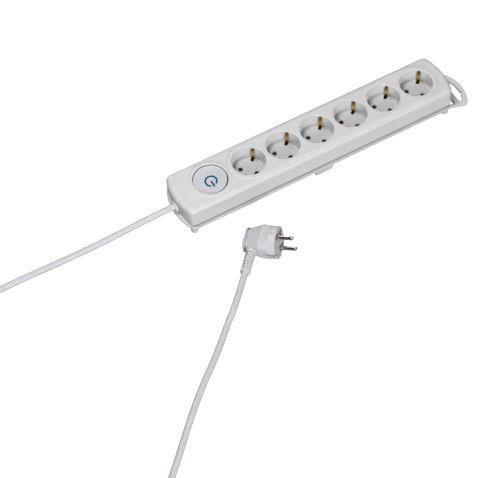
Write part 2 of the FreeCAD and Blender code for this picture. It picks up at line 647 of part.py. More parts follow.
def coil(radius, wire_r, pitch, height, base):
    """Helical spring about a vertical axis, standing on the point base."""
    helix = Part.makeHelix(pitch, height, radius)
    section = Part.Wire([Part.makeCircle(wire_r, v(radius, 0, 0), v(0, 1, 0))])
    spring = Part.Wire(helix.Edges).makePipeShell([section], True, True)
    spring.translate(base)
    return spring


def make_shutter_springs():
    one = coil(2.7, 0.18, 0.45, 0.8, ORIGIN)
    return Part.makeCompound([moved(one, x, 0, PLATE_Z[0] + 1.05) for x in SOCKETS])


# ---------------------------------------------------------------- switch
SWITCH_PIVOT = v(SWITCH_X, 0, ROCKER_AXLE_Z)
CONTACT_PIVOT = v(SWITCH_X, 0, CONTACT_PIVOT_Z)
ACROSS = v(0, 1, 0)


def at_rocker_rest(shape):
    return turned(shape, -ROCKER_TILT, SWITCH_PIVOT, ACROSS)


def rocker_cap():
    """Disc with a rounded rim and a slightly hollowed top."""
    edge = 1.2
    mid = edge * (1 - math.sqrt(0.5))
    return revolved([
        (0, ROCKER_BOTTOM_Z), (ROCKER_R - 0.5, ROCKER_BOTTOM_Z), (ROCKER_R, ROCKER_BOTTOM_Z + 2),
        (ROCKER_R, ROCKER_TOP_Z - edge), (ROCKER_R - mid, ROCKER_TOP_Z - mid, "arc"),
        (ROCKER_R - edge, ROCKER_TOP_Z),
        ((ROCKER_R + ROCKER_FLAT_R) / 2, ROCKER_TOP_Z - ROCKER_DISH * 0.62, "arc"),
        (ROCKER_FLAT_R, ROCKER_TOP_Z - ROCKER_DISH), (0, ROCKER_TOP_Z - ROCKER_DISH)], SWITCH_X)


def symbol_pieces():
    """Power symbol inlaid in the cap: an open ring, and a bar through its gap, which is towards -Y."""
    z1 = ROCKER_TOP_Z - ROCKER_DISH
    z0 = z1 - SYMBOL_DEPTH
    middle_r = SYMBOL_R - SYMBOL_STROKE / 2
    half = SYMBOL_STROKE / 2
    ring = upright(SYMBOL_R, SWITCH_X, SYMBOL_Y, z0, z1)
    ring = ring.cut(upright(SYMBOL_R - SYMBOL_STROKE, SWITCH_X, SYMBOL_Y, z0 - 1, z1 + 1))
    ring = ring.cut(moved(sector(SYMBOL_R + 3, SYMBOL_GAP_DEG, -90, z0 - 1, z1 + 1), SWITCH_X, SYMBOL_Y))
    ends = []
    for side in (1, -1):
        tip = polar(middle_r, -90 + side * SYMBOL_GAP_DEG, SWITCH_X, SYMBOL_Y)
        ends.append(upright(half, tip.x, tip.y, z0, z1))
    bar_y = [SYMBOL_Y + y for y in SYMBOL_BAR_Y]
    bar = box(SWITCH_X - half, SWITCH_X + half, *bar_y, z0, z1)
    bar_ends = [upright(half, SWITCH_X, y, z0, z1) for y in bar_y]
    return [merge([ring] + ends), merge([bar] + bar_ends)]


def make_rocker():
    ceiling = ROCKER_TOP_Z - ROCKER_TOP_T
    shell = rocker_cap().cut(upright(ROCKER_R - ROCKER_WALL, SWITCH_X, 0, ROCKER_BOTTOM_Z - 1, ceiling))
    parts = [shell]
    for side in (1, -1):
        y0, y1 = sorted(side * y for y in ROCKER_EAR_Y)
        parts.append(box(SWITCH_X - ROCKER_EAR_HALF_X, SWITCH_X + ROCKER_EAR_HALF_X, y0, y1, ROCKER_EAR_Z,
                         ceiling + 0.5))
        parts.append(upright(TUBE_R[1], SWITCH_X, side * POLE_Y, TUBE_BOTTOM_Z, ceiling + 0.5))
    rocker = merge(parts)
    ear_in, ear_out = ROCKER_EAR_Y
    cutters = [rod(AXLE_R + 0.05, v(SWITCH_X, side * (ear_in - 0.2), ROCKER_AXLE_Z),
                   v(SWITCH_X, side * (ear_out + 0.2), ROCKER_AXLE_Z)) for side in (1, -1)]
    cutters += [upright(TUBE_R[0], SWITCH_X, side * POLE_Y, TUBE_BOTTOM_Z - 1.2, ceiling) for side in (1, -1)]
    return at_rocker_rest(rocker.cut(cutters + symbol_pieces()))


def make_symbol():
    return at_rocker_rest(Part.makeCompound(symbol_pieces()))


def make_rocker_pins():
    """Short steel pins in the housing's ears, on which the rocker turns."""
    return Part.makeCompound([
        rod(AXLE_R, v(SWITCH_X, side * (ROCKER_EAR_Y[0] + 0.2), ROCKER_AXLE_Z),
            v(SWITCH_X, side * HOUSING_HALF_Y, ROCKER_AXLE_Z))
        for side in (1, -1)])


def make_plungers():
    """Domed plunger in each of the rocker's two tubes."""
    plungers = []
    for side in (1, -1):
        y = side * POLE_Y
        stem = upright(PLUNGER_R, SWITCH_X, y, *PLUNGER_Z)
        tip = Part.makeSphere(PLUNGER_R, v(SWITCH_X, y, PLUNGER_Z[0]))
        plungers.append(at_rocker_rest(merge([stem, tip])))
    return Part.makeCompound(plungers)


def make_plunger_springs():
    """Spring above each plunger, inside the rocker's tubes."""
    radius, wire_r, pitch, height = 1.15, 0.22, 1.1, 6.2
    one = coil(radius, wire_r, pitch, height, ORIGIN)
    base_z = PLUNGER_Z[1] + 0.5
    return Part.makeCompound([at_rocker_rest(moved(one, SWITCH_X, y, base_z)) for y in (POLE_Y, -POLE_Y)])


def make_contact_blades():
    """See-saw contact of each pole, with a silver-faced button at its +X end."""
    blades = []
    for side in (1, -1):
        y = side * POLE_Y
        blade = box(SWITCH_X - BLADE_HALF_X, SWITCH_X + BLADE_HALF_X, y - BLADE_HALF_Y, y + BLADE_HALF_Y,
                    CONTACT_PIVOT_Z, CONTACT_PIVOT_Z + BLADE_T)
        button = upright(BUTTON_R, SWITCH_X + BUTTON_X, y, CONTACT_PIVOT_Z - BUTTON_T, CONTACT_PIVOT_Z + 0.1)
        blades.append(turned(merge([blade, button]), CONTACT_TILT, CONTACT_PIVOT, ACROSS))
    return Part.makeCompound(blades)


def make_inlet_terminals():
    """Upright plates that the see-saws rock on."""
    plates = []
    for side in (1, -1):
        y = side * POLE_Y
        low, shoulder = TERMINAL_Z
        corners = ((-TERMINAL_HALF_X, low), (TERMINAL_HALF_X, low), (TERMINAL_HALF_X, shoulder),
                   (0, CONTACT_PIVOT_Z - 0.05), (-TERMINAL_HALF_X, shoulder))
        outline = [v(SWITCH_X + x, y - TERMINAL_T / 2, z) for x, z in corners]
        plates.append(polygon_prism(outline, v(0, TERMINAL_T, 0)))
    return Part.makeCompound(plates)


def make_outlet_terminals():
    """Fixed contact under the +X end of each see-saw."""
    plates = []
    head_z = CONTACT_PIVOT_Z - BUTTON_T - BUTTON_X * math.sin(math.radians(CONTACT_TILT)) - 0.17
    for side in (1, -1):
        y = side * POLE_Y
        plate = box(SWITCH_X + OUTLET_X[0], SWITCH_X + OUTLET_X[1], y - TERMINAL_T / 2, y + TERMINAL_T / 2,
                    TERMINAL_Z[0], head_z - 0.8)
        head = upright(BUTTON_R, SWITCH_X + BUTTON_X, y, head_z - BUTTON_T, head_z)
        plates.append(merge([plate, head]))
    return Part.makeCompound(plates)


def make_switch_housing():
    """Open box that holds the terminals, with two ears for the rocker's pins."""
    x0, x1 = SWITCH_X - HOUSING_HALF_X, SWITCH_X + HOUSING_HALF_X
    wall = HOUSING_WALL
    outer = box(x0, x1, -HOUSING_HALF_Y, HOUSING_HALF_Y, HOUSING_BOTTOM_Z, HOUSING_TOP_Z)
    inner = box(x0 + wall, x1 - wall, -HOUSING_HALF_Y + wall, HOUSING_HALF_Y - wall, HOUSING_BOTTOM_Z + wall,
                HOUSING_TOP_Z + 1)
    foot_half = 2.0
    feet = []
    for x in (x0 + 2.5, x1 - 2.5):
        for y in (-HOUSING_HALF_Y + foot_half, HOUSING_HALF_Y - foot_half):
            feet.append(box(x - foot_half, x + foot_half, y - foot_half, y + foot_half,
                            PAN_BOTTOM_Z + PAN_T + 0.05, HOUSING_BOTTOM_Z + 0.5))
    ears = []
    for side in (1, -1):
        y0, y1 = sorted((side * (HOUSING_HALF_Y - HOUSING_WALL), side * HOUSING_HALF_Y))
        ears.append(box(SWITCH_X - ROCKER_EAR_HALF_X, SWITCH_X + ROCKER_EAR_HALF_X, y0, y1,
                        HOUSING_TOP_Z - 0.5, HOUSING_EAR_Z))
    housing = merge([outer] + feet + ears).cut(inner)
    reach = HOUSING_HALF_Y + 1
    cutters = [rod(AXLE_R, v(SWITCH_X, -reach, ROCKER_AXLE_Z), v(SWITCH_X, reach, ROCKER_AXLE_Z))]
    slot_z = (HOUSING_BOTTOM_Z - 1, HOUSING_BOTTOM_Z + HOUSING_WALL + 1)
    half = TERMINAL_T / 2 + 0.05
    for y in (POLE_Y, -POLE_Y):
        for a, b in ((-TERMINAL_HALF_X, TERMINAL_HALF_X), OUTLET_X):
            cutters.append(box(SWITCH_X + a - 0.05, SWITCH_X + b + 0.05, y - half, y + half, *slot_z))
    return housing.cut(cutters)


# ---------------------------------------------------------------- wiring
def rounded_path(points, bend_r):
    """Wire through points with each corner rounded by an arc."""
    edges = []
    last = points[0]
    for before, corner, after in zip(points, points[1:], points[2:]):
        back = (before - corner).normalize()
        on = (after - corner).normalize()
        half = math.acos(max(-1.0, min(1.0, back.dot(on)))) / 2
        run = bend_r / math.tan(half)
        arc_from = corner + back * run
        arc_to = corner + on * run
        bisector = (back + on).normalize()
        arc_mid = corner + bisector * (bend_r / math.sin(half) - bend_r)
        edges.append(Part.makeLine(last, arc_from))
        edges.append(Part.Arc(arc_from, arc_mid, arc_to).toShape())
        last = arc_to
    edges.append(Part.makeLine(last, points[-1]))
    return Part.Wire(edges)


def sweep(radius, path):
    """Round section along a smooth wire."""
    first = path.OrderedEdges[0]
    start = first.valueAt(first.FirstParameter)
    direction = first.tangentAt(first.FirstParameter)
    section = Part.Wire([Part.makeCircle(radius, start, direction)])
    return path.makePipeShell([section], True, True)


def make_feed_wire(sign):
    """Core from the cable's end, down past the clamp and under the switch to an inlet terminal."""
    y = sign * POLE_Y
    z = CABLE_Z + 0.8
    return sweep(WIRE_R, rounded_path([
        v(SHEATH_END_X, sign * 1.7, z), v(-156.0, sign * 1.7, z), v(-151.0, sign * 5.6, z),
        v(-151.0, sign * 5.6, WIRE_Z), v(-142.5, y, WIRE_Z), v(SWITCH_X - 2.55, y, WIRE_Z)], 2.2))


def make_switched_wire(sign):
    """Link from an outlet terminal to the end of its bar."""
    y = sign * POLE_Y
    bar_y = sign * (BAR_Y[0] + BAR_Y[1]) / 2
    return sweep(WIRE_R, rounded_path([
        v(SWITCH_X + 8.65, y, WIRE_Z), v(-115.0, y, WIRE_Z), v(-111.5, bar_y, 11.0),
        v(BAR_X0, bar_y, 11.0)], 3.0))


def make_earth_wire():
    """Core from the cable's end, round the switch housing, to the earth bar."""
    beside = -15.5
    return sweep(WIRE_R, rounded_path([
        v(SHEATH_END_X, 0, CABLE_Z - 2.0), v(-155.9, 0, CABLE_Z - 2.0), v(-155.9, beside * 0.6, 9.0),
        v(-151.5, beside, WIRE_Z + 0.1), v(-105.5, beside, WIRE_Z + 0.1), v(-105.5, 0, WIRE_Z + 0.1),
        v(BAR_X0 - 0.05, 0, WIRE_Z + 0.1)], 2.0))


# ---------------------------------------------------------------- cable entry
CLAMP_MID_X = (CLAMP_X[0] + CLAMP_X[1]) / 2


def make_grommet():
    """Rubber sleeve: neck in the end wall, a flange outside that follows the leaning wall and one inside."""
    outside = rod(GROMMET_OUTER_R, v(GROMMET_X[0], 0, CABLE_Z), v(GROMMET_X[0] + 4, 0, CABLE_Z))
    outer_rim = [e for e in outside.Edges
                 if e.Curve.TypeId == "Part::GeomCircle" and e.Curve.Center.x < GROMMET_X[0] + 0.1]
    outside = outside.makeFillet(0.9, outer_rim)
    outside = outside.cut(Part.makeLoft([body_outline(HALF_WIDTH, END_X_BOTTOM + 0.05, COVER_BOTTOM_Z - 1,
                                                      CORNER_R_BOTTOM, END_ARC_R_BOTTOM),
                                         body_outline(HALF_WIDTH, END_X_TOP + 0.2, TOP_Z)], True, True))
    neck = rod(GROMMET_NECK_R, v(GROMMET_X[0] + 0.9, 0, CABLE_Z), v(GROMMET_X[1], 0, CABLE_Z))
    inside = rod(GROMMET_INNER_R, v(GROMMET_X[1] - 1.4, 0, CABLE_Z), v(GROMMET_X[1], 0, CABLE_Z))
    bore = rod(CABLE_R + 0.05, v(GROMMET_X[0] - 1, 0, CABLE_Z), v(GROMMET_X[1] + 1, 0, CABLE_Z))
    return merge([outside, neck, inside]).cut(bore)


def make_cable_clamp():
    """Bridge that holds the cable's sheath down on the base's saddle."""
    bridge = box(CLAMP_X[0] + 0.3, CLAMP_X[1] - 0.3, -CLAMP_HALF_Y + 0.4, CLAMP_HALF_Y - 0.4,
                 CABLE_Z - 0.9, CABLE_Z + CLAMP_T)
    bore = rod(CABLE_R + 0.05, v(CLAMP_X[0] - 1, 0, CABLE_Z), v(CLAMP_X[1] + 1, 0, CABLE_Z))
    holes = [upright(1.6, CLAMP_MID_X, side * CLAMP_SCREW_Y, 15, 40) for side in (1, -1)]
    return bridge.cut([bore] + holes)


def make_clamp_screws():
    screws = []
    for side in (1, -1):
        y = side * CLAMP_SCREW_Y
        top = CABLE_Z + CLAMP_T
        head = upright(2.4, CLAMP_MID_X, y, top, top + 1.8)
        shank = upright(1.2, CLAMP_MID_X, y, 9.0, top + 0.5)
        slot = box(CLAMP_MID_X - 3, CLAMP_MID_X + 3, y - 0.35, y + 0.35, top + 1.0, top + 3)
        screws.append(merge([head, shank]).cut(slot))
    return Part.makeCompound(screws)


# ---------------------------------------------------------------- plug
def in_plug_place(shape):
    """The plug is built with its face at the origin, pins along +X and the cable leaving at -Y."""
    placed = turned(shape, -PLUG_PITCH, ORIGIN, ACROSS)
    placed = turned(placed, PLUG_HEADING)
    placed.translate(PLUG_FACE)
    return placed


def plug_point(x, y, z):
    point = in_plug_place(Part.Vertex(v(x, y, z)))
    return point.Point


def strip_channel(side):
    """Channel on the plug's flank for an earth strip."""
    y0, y1 = sorted((side * (PLUG_R - STRIP_CHANNEL_DEPTH), side * (PLUG_R + 1)))
    return box(-16.0, 1.0, y0, y1, -STRIP_CHANNEL_HALF, STRIP_CHANNEL_HALF)


def finger_flat(degrees):
    """Cuts a flat panel into the flank, facing this way round the plug's axis."""
    x0, x1 = PLUG_FLAT_X
    slab = box(x0, x1, PLUG_FLAT_R, PLUG_FLAT_R + 6, -15, 15)
    return turned(slab, degrees, ORIGIN, v(1, 0, 0))


def plug_section(sizes, shrink=0.0, centre_y=0.0):
    x, half_y, half_z, corner = sizes
    return rounded_rectangle(half_y - shrink, half_z - shrink, corner - shrink, x, centre_y)


def plug_grip(shrink=0.0):
    """Tapered part behind the waist."""
    return Part.makeLoft([plug_section(PLUG_GRIP, shrink, PLUG_BACK_Y),
                          plug_section(PLUG_GRIP_END, shrink, PLUG_BACK_Y)], True, True)


def rib_grooves():
    """Fine grooves round the grip."""
    width, depth = PLUG_RIB_GROOVE
    core = plug_grip(depth)
    first = PLUG_GRIP[0] - 0.5
    slabs = []
    for k in range(PLUG_RIBS):
        x = first - k * PLUG_RIB_PITCH
        slabs.append(box(x - width, x, -30, 30, -30, 30).cut(core))
    return slabs


def boot_slots():
    """Slots that let the boot bend; each leaves the spine and a thin core round the cable."""
    slots = []
    for k in range(BOOT_SLOTS):
        y = -17.0 - BOOT_SLOT_PITCH * k
        for side in (1, -1):
            x0, x1 = sorted((CABLE_EXIT_X + side * BOOT_SPINE_HALF, CABLE_EXIT_X + side * 9))
            slot = box(x0, x1, y - BOOT_SLOT_WIDTH, y, -9, 9)
            slots.append(slot.cut(rod(CABLE_R + 0.3, v(CABLE_EXIT_X, y - 3, 0), v(CABLE_EXIT_X, y + 1, 0))))
    return slots


def plug_boot():
    start = -8.0
    along = v(0, -1, 0)
    sleeve = Part.makeCone(*BOOT_R, start - BOOT_END_Y, v(CABLE_EXIT_X, start, 0), along)
    root = Part.makeCone(BOOT_ROOT_R, BOOT_R[0] - 0.1, 6.5, v(CABLE_EXIT_X, start, 0), along)
    collar = rod(BOOT_COLLAR_R, v(CABLE_EXIT_X, BOOT_END_Y + 2.6, 0), v(CABLE_EXIT_X, BOOT_END_Y, 0))
    rims = [e for e in collar.Edges if e.Curve.TypeId == "Part::GeomCircle"]
    return merge([sleeve, root, collar.makeFillet(0.5, rims)])


def make_plug_housing():
    """Soft overmould: round nose, flat finger panels, ribbed grip, back flange and bend-relief boot."""
    nose = rod(PLUG_R, v(-PLUG_NOSE_LENGTH, 0, 0), v(0, 0, 0))
    rim = [e for e in nose.Edges if e.Curve.TypeId == "Part::GeomCircle" and e.Curve.Center.x > -0.1]
    nose = nose.makeFillet(0.9, rim)
    flange = Part.makeLoft([rounded_rectangle(14.4, 9.6, 7.0, -36.2, 1.0),
                            rounded_rectangle(13.6, 9.0, 7.0, -38.8, 1.0)], True, True)
    neck = Part.makeLoft([rounded_rectangle(11.0, 8.2, 6.0, -34.0, PLUG_BACK_Y),
                          rounded_rectangle(11.0, 8.2, 6.0, -36.6, PLUG_BACK_Y)], True, True)
    waist = Part.makeLoft([plug_section(PLUG_WAIST), plug_section(PLUG_GRIP, 0.0, PLUG_BACK_Y)], True, True)
    body = merge([nose, waist, plug_grip(), neck, flange]).cut(rib_grooves())
    body = merge([body, plug_boot()])

    cutters = [rod(PLUG_CORE_R, v(-PLUG_CORE_DEPTH, 0, 0), v(1, 0, 0))]
    cutters += [strip_channel(side) for side in (1, -1)]
    cutters += [finger_flat(turn + sign * PLUG_FLAT_DEG) for turn in (0, 180) for sign in (1, -1)]
    for side in (1, -1):
        z0, z1 = sorted((side * (PLUG_R - 2.2), side * (PLUG_R + 1)))
        cutters.append(box(-13.5, 1.0, -2.8, 2.8, z0, z1))
    cutters.append(rod(CABLE_R + 0.05, v(CABLE_EXIT_X, -9.0, 0), v(CABLE_EXIT_X, BOOT_END_Y - 1, 0)))
    cutters += boot_slots()
    return in_plug_place(body.cut(cutters))


def make_plug_core():
    """Rigid insert that carries the pins; its face shows at the front of the plug."""
    core = rod(PLUG_CORE_R - 0.05, v(-PLUG_CORE_DEPTH + 0.05, 0, 0), v(-0.3, 0, 0))
    well_r, well_depth = PIN_WELL
    cutters = []
    for z in (PIN_PITCH / 2, -PIN_PITCH / 2):
        cutters.append(rod(PLUG_SHANK_R + 0.02, v(-9.02, 0, z), v(1, 0, z)))
        cutters.append(rod(well_r, v(-well_depth, 0, z), v(1, 0, z)))
    cutters.append(rod(3.15, v(-10.0, EARTH_PIN_Y, 0), v(1, EARTH_PIN_Y, 0)))
    cutters.append(rod(1.7, v(-4.0, 3.0, 0), v(1, 3.0, 0)))
    return in_plug_place(core.cut(cutters))


def make_plug_pin(side):
    z = side * PIN_PITCH / 2
    shaft = rod(PLUG_PIN_R, v(0, 0, z), v(PLUG_PIN_LENGTH, 0, z))
    tip = [e for e in shaft.Edges
           if e.Curve.TypeId == "Part::GeomCircle" and e.Curve.Center.x > PLUG_PIN_LENGTH - 0.1]
    shank = rod(PLUG_SHANK_R, v(-9.0, 0, z), v(1.0, 0, z))
    return in_plug_place(merge([shaft.makeFillet(1.9, tip), shank]))


def make_plug_earth_strips():
    """Flat contacts at the bottom of the two flank channels."""
    inner = PLUG_R - STRIP_CHANNEL_DEPTH + 0.05
    half = STRIP_CHANNEL_HALF - 0.1
    strips = []
    for side in (1, -1):
        y0, y1 = sorted((side * inner, side * (inner + STRIP_T)))
        strips.append(in_plug_place(box(-STRIP_LENGTH - 0.4, -0.4, y0, y1, -half, half)))
    return Part.makeCompound(strips)


def make_plug_earth_socket():
    """Sleeve for the earth pin of the other socket system the plug also fits."""
    sleeve = rod(3.1, v(-9.9, EARTH_PIN_Y, 0), v(-0.6, EARTH_PIN_Y, 0))
    return in_plug_place(sleeve.cut(rod(2.45, v(-9.0, EARTH_PIN_Y, 0), v(0, EARTH_PIN_Y, 0))))


# ---------------------------------------------------------------- cable
def make_cable():
    """One length from the strip's clamp, round a loop on the floor, into the plug's boot."""
    on_floor = CABLE_R + 0.15
    leaves_strip = v(-184.5, 0, CABLE_Z)
    inlet = plug_point(CABLE_EXIT_X, -10.0, 0)
    boot_end = plug_point(CABLE_EXIT_X, BOOT_END_Y - 1.0, 0)
    into_boot = (inlet - boot_end).normalize()
    drop = [v(-217.5, 2.2, 17.6), v(-252.5, 5.4, 10.4), v(-287.5, 8.0, 5.2), v(-322.5, 9.2, on_floor)]
    loop = [v(-402.5, 10, on_floor), v(-522.5, -8, on_floor), v(-622.5, -78, on_floor),
            v(-654.5, -190, on_floor), v(-602.5, -296, on_floor), v(-492.5, -352, on_floor),
            v(-382.5, -318, on_floor), v(-295, -239, on_floor)]
    rise = [v(-254.5, -202, on_floor), v(-224.7, -177.4, 4.5), v(-198.5, -154, 7.2)]
    curve = Part.BSplineCurve()
    curve.interpolate(Points=[leaves_strip] + drop + loop + rise + [boot_end],
                      InitialTangent=v(-1, 0, 0), FinalTangent=into_boot)
    path = Part.Wire([Part.makeLine(v(SHEATH_END_X, 0, CABLE_Z), leaves_strip), curve.toShape(),
                      Part.makeLine(boot_end, inlet)])
    return sweep(CABLE_R, path)


# ---------------------------------------------------------------- assembly
def build():
    NODES["top_cover"] = make_cover()
    NODES["base_tray"] = make_base()
    NODES["foot_pads"] = make_foot_pads()
    NODES["case_screws"] = make_case_screws()
    NODES["live_bar"] = make_bar(1)
    NODES["neutral_bar"] = make_bar(-1)
    NODES["live_contacts"] = make_forks(1)
    NODES["neutral_contacts"] = make_forks(-1)
    NODES["earth_bar"] = make_earth_bar()
    NODES["earth_clips"] = Part.makeCompound([earth_clip(x) for x in SOCKETS])
    for number, x in enumerate(SOCKETS, 1):
        NODES["shutter_%d" % number] = make_shutter(x)
    NODES["shutter_plates"] = make_shutter_plates()
    NODES["shutter_springs"] = make_shutter_springs()
    NODES["rocker_button"] = make_rocker()
    NODES["power_symbol"] = make_symbol()
    NODES["rocker_pins"] = make_rocker_pins()
    NODES["switch_plungers"] = make_plungers()
    NODES["plunger_springs"] = make_plunger_springs()
    NODES["contact_blades"] = make_contact_blades()
    NODES["inlet_terminals"] = make_inlet_terminals()
    NODES["outlet_terminals"] = make_outlet_terminals()
    NODES["switch_housing"] = make_switch_housing()
    NODES["live_feed_wire"] = make_feed_wire(1)
    NODES["neutral_feed_wire"] = make_feed_wire(-1)
    NODES["live_switched_wire"] = make_switched_wire(1)
    NODES["neutral_switched_wire"] = make_switched_wire(-1)
    NODES["earth_wire"] = make_earth_wire()
    NODES["cable_grommet"] = make_grommet()
    NODES["cable_clamp"] = make_cable_clamp()
    NODES["clamp_screws"] = make_clamp_screws()
    NODES["mains_cable"] = make_cable()
    NODES["plug_housing"] = make_plug_housing()
    NODES["plug_core"] = make_plug_core()
    NODES["plug_pin_upper"] = make_plug_pin(1)
    NODES["plug_pin_lower"] = make_plug_pin(-1)
    NODES["plug_earth_strips"] = make_plug_earth_strips()
    NODES["plug_earth_socket"] = make_plug_earth_socket()


def export():
    os.makedirs("parts", exist_ok=True)
    for name, shape in NODES.items():
        shape.exportStep("parts/%s.step" % name)
        solids = len(shape.Solids)
        print("%-24s solids %2d valid %s volume %.1f" % (name, solids, shape.isValid(), shape.Volume))


build()
export()
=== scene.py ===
"""Looks of the power strip: materials, studio and camera."""
import json
import math

import bpy
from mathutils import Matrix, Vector

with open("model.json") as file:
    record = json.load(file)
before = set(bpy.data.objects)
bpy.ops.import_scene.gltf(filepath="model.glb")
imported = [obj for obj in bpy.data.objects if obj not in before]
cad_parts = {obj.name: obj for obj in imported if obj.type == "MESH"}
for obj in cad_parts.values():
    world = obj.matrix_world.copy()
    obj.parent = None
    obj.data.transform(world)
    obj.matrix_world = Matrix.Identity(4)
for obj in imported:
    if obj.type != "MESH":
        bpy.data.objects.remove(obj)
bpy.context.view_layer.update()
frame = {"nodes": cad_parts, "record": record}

# ---------------------------------------------------------------- numbers of the surfaces
# Scales are in repeats per metre and depths in metres. A pair of shades is the darkest and the lightest.
NOISE_MIDDLE = (0.3, 0.7)                    # where most values of a noise texture lie

MOTTLE_SCALE = 38.0                          # flow marks of a moulding
MOTTLE_SHADES = (0.965, 1.02)
SPECK_SCALE = 900.0
SPECK_SHADE = 0.93
SPECK_SHARE = 0.25
# Painted highlight: the plastic's colour is made paler on convex edges, as if they caught the light.
EDGE_HIGHLIGHT_POINTINESS = (0.52, 0.60)               # from flat surface to outer edge
EDGE_HIGHLIGHT_SHADE = 1.06
EDGE_HIGHLIGHT_SHARE = 0.35
GRAIN_SCALE = 2600.0                         # spark-eroded tool surface
GRAIN_DEPTH = 0.00006
FINE_GRAIN_SCALE = 3200.0                    # polished tool surface
FINE_GRAIN = 0.08
WAVINESS_SCALE = 140.0
WAVINESS = 0.12
WAVINESS_DEPTH = 0.0002
PLASTIC_ROUGHNESS_SPREAD = (-0.04, 0.05)
PLASTIC_BLEED = 0.15                         # share of light scattered below the surface
PLASTIC_BLEED_RADIUS = (0.0018, 0.0016, 0.0014)
PLASTIC_GLOSS = 0.5
COAT_ROUGHNESS = 0.25

RUBBER_MOTTLE_SCALE = 60.0
RUBBER_SHADES = (0.96, 1.02)
RUBBER_GRAIN_SCALE = 1680.0
RUBBER_GRAIN = 0.25
RUBBER_GRAIN_DEPTH = 0.00008
RUBBER_ROUGHNESS_SPREAD = (-0.06, 0.06)
RUBBER_BLEED = 0.2
RUBBER_BLEED_RADIUS = (0.002, 0.0018, 0.002)

SCRATCH_SCALE = 900.0
SCRATCH_SQUEEZE = (1.0, 1.0, 14.0)           # thin in height, so the scratches run level
SCRATCH_DEPTH = 0.00004
TARNISH_SCALE = 220.0
TARNISH_SHARE = 0.6
TARNISH_ROUGHNESS = 0.14

WIRE_MOTTLE_SCALE = 120.0
WIRE_DARK_SHADE = 0.85
WIRE_GLOSS_SCALE = 300.0
WIRE_ROUGHNESS = (0.3, 0.42)
WIRE_GRAIN_SCALE = 1500.0
WIRE_GRAIN = 0.15
WIRE_GRAIN_DEPTH = 0.00005
STRIPE_SCALE = 90.0
STRIPE_WOBBLE = 1.0
STRIPE_EDGE = (0.45, 0.55)

# ---------------------------------------------------------------- numbers of the studio
FLOOR_HALF = 6.0
FLOOR_DROP = 0.0002                          # keeps the floor just below the feet
FLOOR_GREY = 0.42                            # share of light that it throws back
FLOOR_GLOW = 0.97                            # its own brightness, for the camera only
SKY = 0.06                                   # even light from all round
LIGHT_TARGET = (0.0, -0.05, 0.02)
LIGHTS = (                                   # name, place, diameter, power in watts
    ("overhead_light", (-0.55, 0.15, 1.85), 0.6, 18.5),
    ("front_light", (-0.45, -2.05, 0.95), 0.8, 36.5),
    ("back_light", (0.0, 1.9, 1.0), 1.0, 12.0),
)

CAMERA_PLACE = (-0.7023, -1.0398, 1.6481)
CAMERA_AZIMUTH = math.radians(-30.29)
CAMERA_ELEVATION = math.radians(55.48)
CAMERA_LENS = 135.56
CAMERA_SENSOR = 36.0
CAMERA_REACH = 20.0


# ---------------------------------------------------------------- material building blocks
class Shader:
    """Short-hand for one material's node tree."""

    def __init__(self, name):
        self.material = bpy.data.materials.new(name)
        self.material.use_nodes = True
        self.tree = self.material.node_tree
        self.surface = self.tree.nodes["Principled BSDF"]
        coordinates = self.tree.nodes.new("ShaderNodeTexCoord")
        self.place = coordinates.outputs["Object"]

    def node(self, kind, **inputs):
        made = self.tree.nodes.new("ShaderNode" + kind)
        for key, value in inputs.items():
            self.put(made.inputs[key.replace("_", " ")], value)
        return made

    def put(self, socket, value):
        if isinstance(value, bpy.types.NodeSocket):
            self.tree.links.new(value, socket)
        else:
            socket.default_value = value

    def noise(self, scale, detail=3.0, roughness=0.5):
        made = self.node("TexNoise", Vector=self.place, Scale=scale, Detail=detail, Roughness=roughness)
        return made.outputs["Fac"]

    def spread(self, value, low, high, source=NOISE_MIDDLE):
        """Maps a value from the source range onto low..high."""
        made = self.node("MapRange", Value=value)
        made.inputs["From Min"].default_value, made.inputs["From Max"].default_value = source
        made.inputs["To Min"].default_value = low
        made.inputs["To Max"].default_value = high
        return made.outputs["Result"]

    def mix(self, factor, colour_a, colour_b):
        made = self.tree.nodes.new("ShaderNodeMix")
        made.data_type = "RGBA"
        self.put(made.inputs["Factor"], factor)
        slot_a, slot_b = (socket for socket in made.inputs if socket.type == "RGBA")
        self.put(slot_a, colour_a)
        self.put(slot_b, colour_b)
        return next(socket for socket in made.outputs if socket.type == "RGBA")

    def bump(self, height, strength, distance, normal=None):
        made = self.node("Bump", Height=height, Strength=strength, Distance=distance)
        if normal is not None:
            self.put(made.inputs["Normal"], normal)
        return made.outputs["Normal"]

    def set(self, **values):
        for key, value in values.items():
            self.put(self.surface.inputs[key.replace("_", " ")], value)


def rgb(red, green, blue):
    """Linear colour from 0-255 display values, by the sRGB curve."""
    linear = []
    for value in (red, green, blue):
        share = value / 255
        linear.append(share / 12.92 if share <= 0.04045 else ((share + 0.055) / 1.055) ** 2.4)
    return (*linear, 1.0)


def shade(colour, factor):
    return (*(channel * factor for channel in colour[:3]), 1.0)


def around(middle, spread):
    """Low and high end of a roughness that varies about the middle."""
    return middle + spread[0], middle + spread[1]


